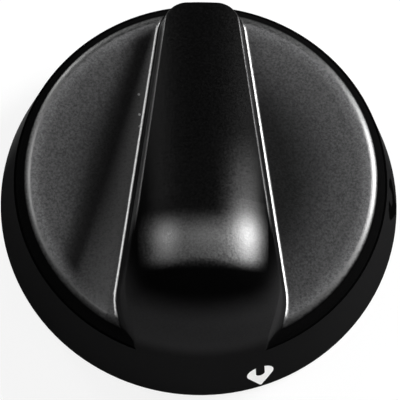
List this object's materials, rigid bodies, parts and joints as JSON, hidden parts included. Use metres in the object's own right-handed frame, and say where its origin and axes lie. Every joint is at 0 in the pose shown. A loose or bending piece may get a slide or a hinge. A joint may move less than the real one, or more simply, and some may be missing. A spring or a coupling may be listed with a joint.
{
  "type": "oven control knob",
  "caption": "Round black push-on control knob with a raised tapering finger grip, hollow underside and a D-shaped spindle socket with a spring clip.",
  "frame": {"origin": "centre of the rim plane, on the spindle axis", "axes": "+Z along the spindle axis out through the grip, -Y towards the wide pointer nose of the grip"},
  "size_m": [0.0438, 0.0438, 0.0196],
  "materials": {
    "black_plastic": "satin moulded grip, finely grained finger pads",
    "spring_steel": "bright rolled strip"
  },
  "bodies": {
    "root": {"knob_body": "black_plastic", "shaft_clip": "spring_steel"}
  },
  "joints": []
}
